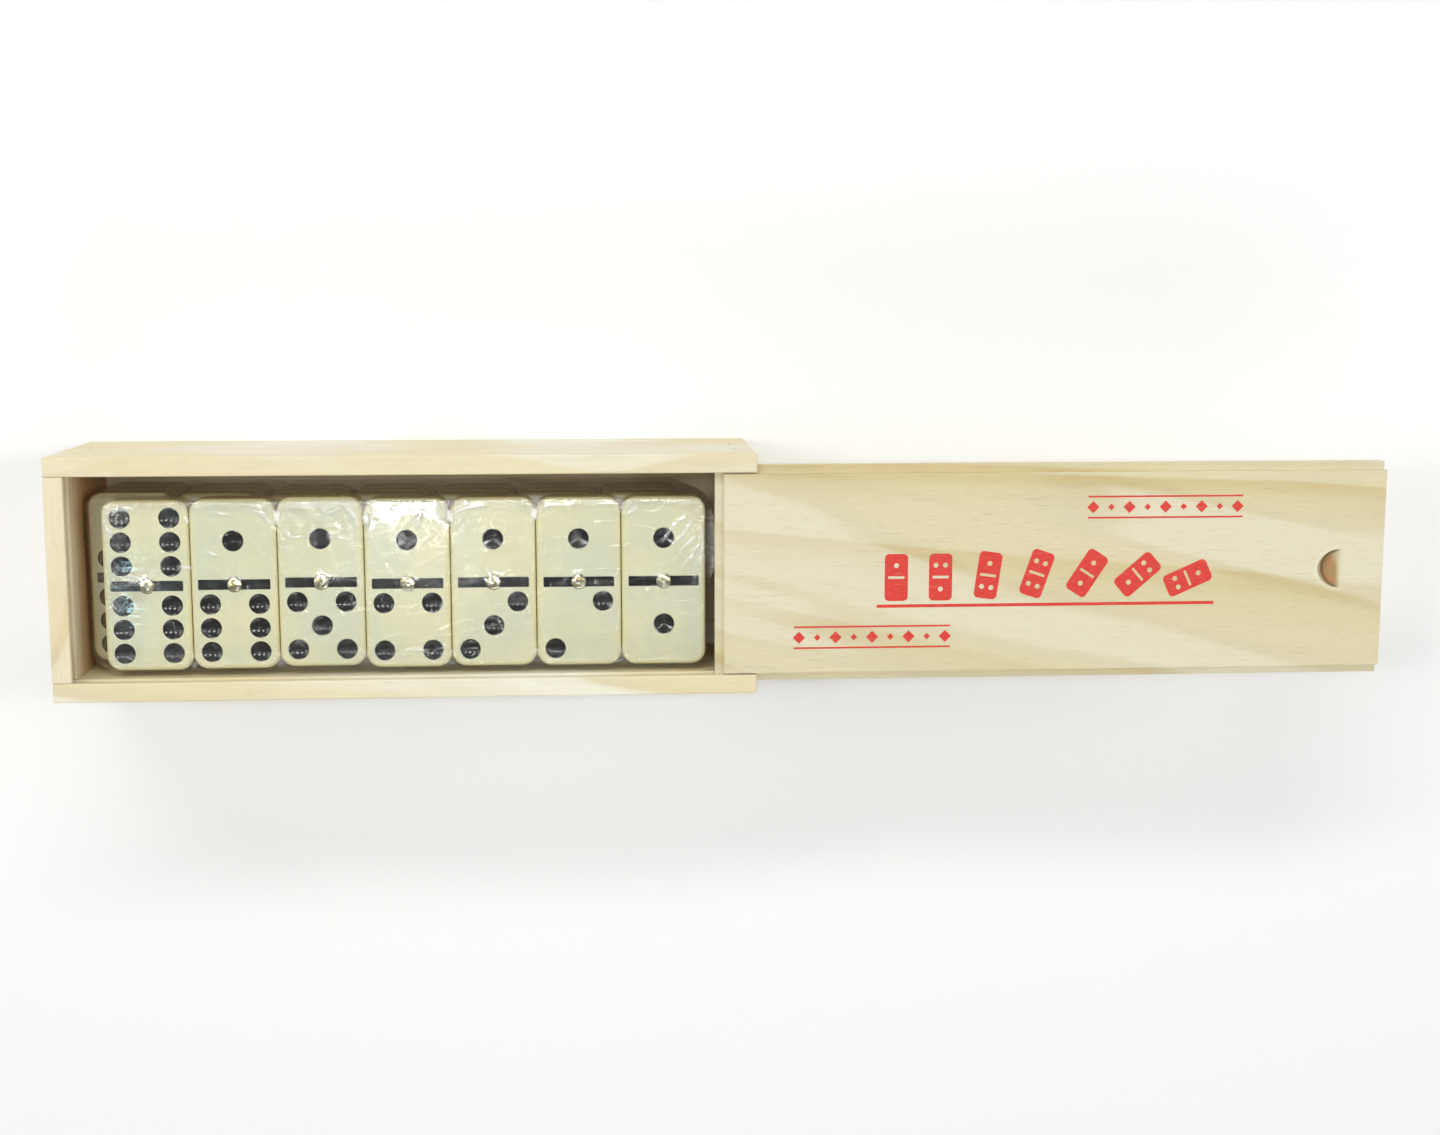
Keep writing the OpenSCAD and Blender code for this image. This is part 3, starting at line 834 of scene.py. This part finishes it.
def make_film(material):
    nx, ny = 336, 100
    verts, crease, gloss, painted_glint = [], [], [], []
    us = [i / nx for i in range(nx + 1)]
    vs = [j / ny for j in range(ny + 1)]
    rim_r = 3.6

    def place(u, v, xa, xb, ya, yb, r):
        """Maps the unit square to the rectangle with its corners pulled in to radius r."""
        x, y = xa + (xb - xa) * u, ya + (yb - ya) * v
        cx, cy = min(max(x, xa + r), xb - r), min(max(y, ya + r), yb - r)
        dx, dy = x - cx, y - cy
        if dx and dy:
            q = max(abs(dx), abs(dy)) / math.hypot(dx, dy)
            x, y = cx + dx * q, cy + dy * q
        return x, y

    inset = 1.15
    top = {}
    for j, v in enumerate(vs):
        for i, u in enumerate(us):
            x, y = place(u, v, FILM_XA + inset, FILM_XB - inset, FILM_YA + inset, FILM_YB - inset, rim_r - inset)
            lift, c, sheen, white = film_lift(x, y)
            top[i, j] = len(verts)
            verts.append((x, y, TOP + lift))
            crease.append(c)
            gloss.append(sheen)
            painted_glint.append(white)
    loop = [(i, 0) for i in range(nx)] + [(nx, j) for j in range(ny)] + [(i, ny) for i in range(nx, 0, -1)] + [(0, j) for j in range(ny, 0, -1)]
    faces = []
    for j in range(ny):
        for i in range(nx):
            faces.append((top[i, j], top[i + 1, j], top[i + 1, j + 1], top[i, j + 1]))
    last = [top[q] for q in loop]
    # the shoulder, then down the sides
    levels = [("arc", a) for a in (18, 36, 54, 72, 90)]
    zs = list(np.linspace(44.6, 36.9, 12)) + list(np.linspace(36.2, 6.0, 30))
    levels += [("z", z) for z in zs] + [("low", a) for a in (20, 45, 70, 90)]
    for kind, val in levels:
        ring = []
        for i, j in loop:
            u, v = us[i], vs[j]
            if kind == "arc":
                a = math.radians(val)
                z0 = verts[top[i, j]][2]
                xa, xb, ya, yb = FILM_XA, FILM_XB, FILM_YA, FILM_YB
                s = inset * (1 - math.sin(a))
                x, y = place(u, v, xa + s, xb - s, ya + s, yb - s, rim_r - s)
                z = z0 - inset * (1 - math.cos(a))
            else:
                z = val if kind == "z" else 6.0 - 1.2 * math.sin(math.radians(val))
                xa, xb, ya, yb = film_extents(z)
                s = 0.0 if kind == "z" else 1.2 * (1 - math.cos(math.radians(val)))
                x, y = place(u, v, xa + s, xb - s, ya + s, yb - s, rim_r - s * 0.8)
            # outward direction
            cx, cy = min(max(x, xa + rim_r), xb - rim_r), min(max(y, ya + rim_r), yb - rim_r)
            nx_, ny_ = x - cx, y - cy
            q = math.hypot(nx_, ny_) or 1.0
            nx_, ny_ = nx_ / q, ny_ / q
            if kind != "low":
                w = smooth01((TOP + 0.4 - z) / 3.0) if kind == "arc" else 1.0
                along = x * 0.5 + y * 0.5
                fold = ridge(x * 0.30, y * 0.30, z * 0.09, 5) * 0.30 + ridge(x * 0.9, y * 0.9, z * 0.35 + 4, 5) * 0.14
                bulge = 0.0
                if nx_ > 0.5:
                    # the gathered seam at the right end
                    seam = math.exp(-((y - 7.5) / 9.0) ** 2) * smooth01((z - 24) / 10) * smooth01((48.5 - z) / 6)
                    bulge = seam * (3.1 + 1.9 * ridge(y * 0.42, z * 0.22, 8.0, 2) + 0.9 * ridge(y * 1.1, z * 0.5, 3.0, 3))
                if nx_ < -0.5:
                    seam = math.exp(-((y - 14) / 9) ** 2) * math.exp(-((z - 41) / 5) ** 2)
                    bulge = seam * 0.7 * ridge(y * 0.6, z * 0.5, 1.0, 3)
                out = w * (fold + bulge)
                x, y = x + nx_ * out, y + ny_ * out
                c = min(1.0, 0.12 * w + 1.3 * fold + 0.40 * bulge) * (0.4 + 0.6 * w)
            else:
                c = 0.2
            ring.append(len(verts))
            verts.append((x, y, z))
            crease.append(c)
            gloss.append(min(1.0, 0.15 + c))
            # painted white highlights where the sides are most creased
            painted_glint.append(max(0.0, min(1.0, 1.6 * (c - 0.62))))
        k = len(ring)
        for i in range(k):
            faces.append((last[i], ring[i], ring[(i + 1) % k], last[(i + 1) % k]))
        last = ring
    # underside, the same grid more loosely
    low = {}
    for q, idx in zip(loop, last):
        low[q] = idx
    xa, xb, ya, yb = film_extents(4.8)
    for j in range(1, ny):
        for i in range(1, nx):
            x, y = place(us[i], vs[j], xa + 1.2, xb - 1.2, ya + 1.2, yb - 1.2, rim_r - 0.96)
            low[i, j] = len(verts)
            verts.append((x, y, 4.74 + 0.03 * mnoise.noise(Vector((x * 0.2, y * 0.2, 0)))))
            crease.append(0.1)
            gloss.append(0.1)
            painted_glint.append(0.0)
    for j in range(ny):
        for i in range(nx):
            faces.append((low[i, j], low[i, j + 1], low[i + 1, j + 1], low[i + 1, j]))
    return new_object("wrap_film", np.array(verts) * MM, faces, None, [material], None,
                      {"crease": crease, "gloss": gloss, "painted_glint": painted_glint})


# ---------------------------------------------------------------- printed ornament on the lid
def ornament(material):
    """Generic ornament in red: a row of toppling tiles on a ground line, with lozenge
    borders at two corners. Each mark is a thin closed layer of ink."""
    cx, top, thick = 182.85, 54.0, 0.03
    marks = []

    def poly(points):
        marks.append([(cx + x, y) for x, y in points])

    def rounded(w, h, r, n=5):
        return [(x, y) for x, y, _, _ in round_rect(w, h, r, n, 1)]

    def turned(points, ang, ox, oy):
        c, s = math.cos(ang), math.sin(ang)
        return [(ox + x * c - y * s, oy + x * s + y * c) for x, y in points]

    holes = []
    # seven tiles, upright at the left and leaning more and more to the right
    lean = [0, 0, 8, 19, 33, 49, 66]
    x0 = -46.0
    w, h = 6.6, 13.4
    for k, deg in enumerate(lean):
        a = -math.radians(deg)
        foot = x0 + k * 12.6
        # pivot on the lower right corner
        ox = foot + w / 2 - (w / 2 * math.cos(a) - (-h / 2) * math.sin(a)) + 0.0
        oy = -8.0 - (w / 2 * math.sin(a) + (-h / 2) * math.cos(a))
        body = turned(rounded(w, h, 1.3), a, ox, oy)
        inner = []
        inner.append([(x, y) for x, y in turned([(-2.3, 0.38), (-2.3, -0.38), (2.3, -0.38), (2.3, 0.38)], a, ox, oy)])
        spots = {0: [(0, 1)], 1: [(-1, 1), (1, 1), (0, -1)], 2: [(0, 1), (-1, -1), (1, -1)],
                 3: [(-1, 1), (1, 1), (-1, -1), (1, -1)], 4: [(0, 1), (0, -1)],
                 5: [(-1, 1), (1, 1), (0, -1)], 6: [(0, 1), (-1, -1), (1, -1)]}[k]
        for px, py in spots:
            c = [(px * 1.35 + 0.72 * math.cos(2 * math.pi * i / 20), py * 3.4 + 0.72 * math.sin(2 * math.pi * i / 20)) for i in range(20)]
            inner.append(turned(c, a, ox, oy))
        marks.append([(cx + x, y) for x, y in body])
        holes.append((len(marks) - 1, [[(cx + x, y) for x, y in q] for q in inner]))
    poly([(-51.5, -9.9), (45.5, -9.9), (45.5, -9.0), (-51.5, -9.0)])
    # lozenge borders
    for sx, sy, count in ((-1, -1, 9), (1, 1, 9)):
        for k in range(count):
            ox = sx * (84.0 - 10.5) - sx * k * 5.2 + (0 if sx < 0 else -22.0)
            oy = sy * 18.2
            q = 1.75 if k % 2 == 0 else 0.95
            poly([(ox - q, oy), (ox, oy - q), (ox + q, oy), (ox, oy + q)])
        lo, hi = sorted((sx * (84.0 - 9.0) + (0 if sx < 0 else -22.0), sx * (84.0 - 12.0) - sx * (count - 1) * 5.2 + (0 if sx < 0 else -22.0)))
        for off in (-3.0, 3.0):
            poly([(lo, sy * 18.2 + off - 0.25), (hi, sy * 18.2 + off - 0.25), (hi, sy * 18.2 + off + 0.25), (lo, sy * 18.2 + off + 0.25)])
    verts, faces = [], []
    hole_of = dict(holes)
    for k, outline in enumerate(marks):
        loops = [outline] + hole_of.get(k, [])
        s = Sweep()
        rings = []
        for lp in loops:
            at = len(s.v)
            for x, y in lp:
                s.point(x, y, 0)
            rings.append(list(range(at, at + len(lp))))
        s.plate(rings[0], rings[1:])
        n = len(s.v)
        base = len(verts)
        verts += [(x, y, top + thick) for x, y, _ in s.v] + [(x, y, top - 0.02) for x, y, _ in s.v]
        for tri in s.f:
            faces.append(tuple(base + i for i in tri))
            faces.append(tuple(base + n + i for i in reversed(tri)))
        for rg in rings:
            for i in range(len(rg)):
                a, b = rg[i], rg[(i + 1) % len(rg)]
                faces.append((base + a, base + b, base + n + b, base + n + a))
    return new_object("lid_ornament", np.array(verts) * MM, faces, None, [material], smooth=False)


# ---------------------------------------------------------------- build
def finish_board(ob, width=0.00045, segments=3):
    """Eased, sanded edges on a CAD board, by modifiers alone."""
    w = ob.modifiers.new("weld", "WELD")
    w.merge_threshold = 0.000005
    b = ob.modifiers.new("ease", "BEVEL")
    b.limit_method = "ANGLE"
    b.angle_limit = math.radians(32)
    b.width = width
    b.segments = segments
    b.use_clamp_overlap = True
    b.harden_normals = False
    ob.data.polygons.foreach_set("use_smooth", np.full(len(ob.data.polygons), True, bool))
    n = ob.modifiers.new("shade", "WEIGHTED_NORMAL")
    n.mode = "FACE_AREA"
    n.weight = 80
    n.keep_sharp = False


def dress(ob, material):
    ob.data.materials.clear()
    ob.data.materials.append(material)


PALE = dict(pale=(225, 222, 199), tan=(209, 198, 159), wobble=5.0, strength=0.8, duct=0.14, patch=1.0)
boards = {
    # the inner entries paint shade on the faces inside the box, browner and darker towards the bottom
    "back_side_wall": pine("pine_back", heart=(-30, -75), lean=(0.03, 0.05), ring=8.5, seed=1.0, warm=0.8, inner=("Y", 28.7, -1, 54.0, 45.0, 0.35, 0.90), **PALE),
    "front_side_wall": pine("pine_front", heart=(44, -66), lean=(-0.02, 0.06), ring=9.5, seed=2.3, warm=0.7, inner=("Y", -28.7, 1, 50.0, 20.0, 0.0, 0.6), **PALE),
    "closed_end_wall": pine("pine_end_left", along="Y", heart=(-131, -20), lean=(0.05, 0.03), ring=4.2, seed=3.7, strength=0.9, warm=0.8, duct=0.2, inner=("X", -92.5, 1, 52.0, 28.0, 0.0, 0.85), pale=(225, 218, 190), tan=(208, 190, 148)),
    "open_end_wall": pine("pine_end_right", along="Y", heart=(133, -38), lean=(-0.04, 0.02), ring=5.0, seed=4.1, strength=0.9, warm=0.9, duct=0.2, inner=("X", 92.0, -1, 48.0, 24.0, 0.05, 0.85), pale=(224, 216, 186), tan=(206, 186, 144)),
    "floor_panel": pine("pine_floor", heart=(20, -90), lean=(0.05, 0.02), ring=7.0, seed=5.9, strength=0.9, warm=0.7, pale=(221, 211, 178), tan=(204, 184, 140)),
    "sliding_lid": pine("pine_lid", seed=6.6, pale=(208, 200, 168), tan=(191, 173, 122), strength=1.0, warm=0.35, wobble=4.0, duct=0.20, patch=0.45, broad=88.2, notch=(265.1, 5.6, 54.0, 0.8207, 0.5714)),
}
for name, mat in boards.items():
    dress(NODES[name], mat)
    finish_board(NODES[name])

ivory_mat, black_mat, brass_mat = ivory("tile_ivory"), black_paint("pip_black"), brass("spinner_brass")
for layer in range(4):
    for col in range(7):
        far, near = LAYERS[layer][col]
        node = "tile_%d_%d" % (far, near)
        ob = make_tile("domino_%d_%d" % (far, near), far, near, tile_place(layer, col),
                       (layer * 7 + col) * 0.37, 48 if layer == 0 else 28, [ivory_mat, black_mat])
        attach(ob, "box")
        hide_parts(node)

pins = make_spinners(brass_mat)
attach(pins, "box")
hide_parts("brass_spinners")

film = make_film(clear_film("film_clear"))
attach(film, "box")
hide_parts("shrink_film")

ink = ornament(pine("lid_ink", seed=6.6, wobble=4.0, broad=88.2, ink=True))
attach(ink, "lid")

# ---------------------------------------------------------------- floor, light and camera
def plain_floor():
    me = bpy.data.meshes.new("studio_floor")
    s = 3.0
    me.from_pydata([(-s, -s, 0), (s, -s, 0), (s, s, 0), (-s, s, 0)], [], [(0, 1, 2, 3)])
    ob = bpy.data.objects.new("studio_floor", me)
    SCENE.collection.objects.link(ob)
    ob.location.z = -0.0002
    t = Tree("studio_white")
    at = t.node("ShaderNodeTexCoord").outputs["Object"]
    n = t.noise(at, 3.0, 2.0, 0.5)
    # the paper is lit evenly as far as it reaches
    far_out = t.span(t.vmath("LENGTH", at), 0.7, 2.0, 0.0, 0.62, smooth=True)
    sh = t.principled(Base_Color=t.mix(n, (0.86, 0.86, 0.86, 1), (0.88, 0.88, 0.88, 1)), Roughness=0.8)
    sh.node.inputs["Emission Color"].default_value = (1, 1, 1, 1)
    t.put(sh.node.inputs["Emission Strength"], far_out)
    me.materials.append(t.done(sh))


def area(name, at, aim, size, watts, colour=(1, 1, 1)):
    li = bpy.data.lights.new(name, "AREA")
    li.shape = "RECTANGLE"
    li.size, li.size_y = size
    li.energy = watts
    li.color = colour
    ob = bpy.data.objects.new(name, li)
    SCENE.collection.objects.link(ob)
    ob.location = at
    ob.rotation_mode = "QUATERNION"
    ob.rotation_quaternion = (Vector(aim) - Vector(at)).to_track_quat("-Z", "Y")


plain_floor()
MID = Vector((0.088, 0.0, 0.04))
area("key", (-0.15, 0.95, 0.80), MID, (1.1, 0.16), 6.4, (1.0, 0.985, 0.955))
area("front_fill", (0.35, -1.05, 0.70), MID, (1.2, 0.5), 3.8, (0.98, 0.99, 1.0))
for k, (fx, watts) in enumerate(((-0.80, 1.7), (0.95, 1.9))):
    area("end_fill_%d" % k, (fx, 0.12, 0.62), MID, (0.45, 0.35), watts, (1.0, 0.985, 0.955))
# three ceiling lamps, seen low in every dimple, and two small panels that the film mirrors
for k, lx in enumerate((-0.47, 0.02, 0.50)):
    area("lamp_%d" % k, (lx, 0.15, 1.02), (lx * 0.2, 0, 0.05), (0.14, 0.12), 1.55)
area("panel_high", (-0.087, -0.093, 1.0), (0, 0.018, 0.05), (0.110, 0.036), 0.16)
area("panel_left", (-0.289, -0.148, 0.95), (-0.078, -0.006, 0.05), (0.030, 0.056), 0.030, (0.55, 0.92, 1.0))

world = bpy.data.worlds.new("studio")
SCENE.world = world
world.use_nodes = True
bg = world.node_tree.nodes["Background"]
bg.inputs[0].default_value = (1.0, 1.0, 1.0, 1)
# brightest low down, all the way round
where = world.node_tree.nodes.new("ShaderNodeTexCoord")
parts = world.node_tree.nodes.new("ShaderNodeSeparateXYZ")
fade = world.node_tree.nodes.new("ShaderNodeMapRange")
fade.interpolation_type = "SMOOTHSTEP"
for k, v in ((1, 0.10), (2, 0.34), (3, 0.86), (4, 0.25)):
    fade.inputs[k].default_value = v
world.node_tree.links.new(where.outputs["Generated"], parts.inputs[0])
world.node_tree.links.new(parts.outputs[2], fade.inputs[0])
world.node_tree.links.new(fade.outputs[0], bg.inputs[1])

cam_data = bpy.data.cameras.new("photo_camera")
cam = bpy.data.objects.new("photo_camera", cam_data)
SCENE.collection.objects.link(cam)
cam_data.sensor_fit = "HORIZONTAL"
cam_data.sensor_width = 36.0
cam_data.lens = 48.75
aim = Vector((0.088, 0.0, 0.040))
back = Vector((-math.sin(math.radians(4.0)), math.sin(math.radians(8.5)), 1.0)).normalized()
cam.location = aim + back * 0.560
look = -back
right = look.cross(Vector((0, 1, 0))).normalized()
up = right.cross(look)
cam.matrix_world = Matrix.Translation(cam.location) @ Matrix((right, up, -look)).transposed().to_4x4()
cam_data.clip_start, cam_data.clip_end = 0.01, 20
SCENE.camera = cam

SCENE.view_settings.view_transform = "Standard"
SCENE.view_settings.look = "None"
SCENE.view_settings.exposure = 0.0
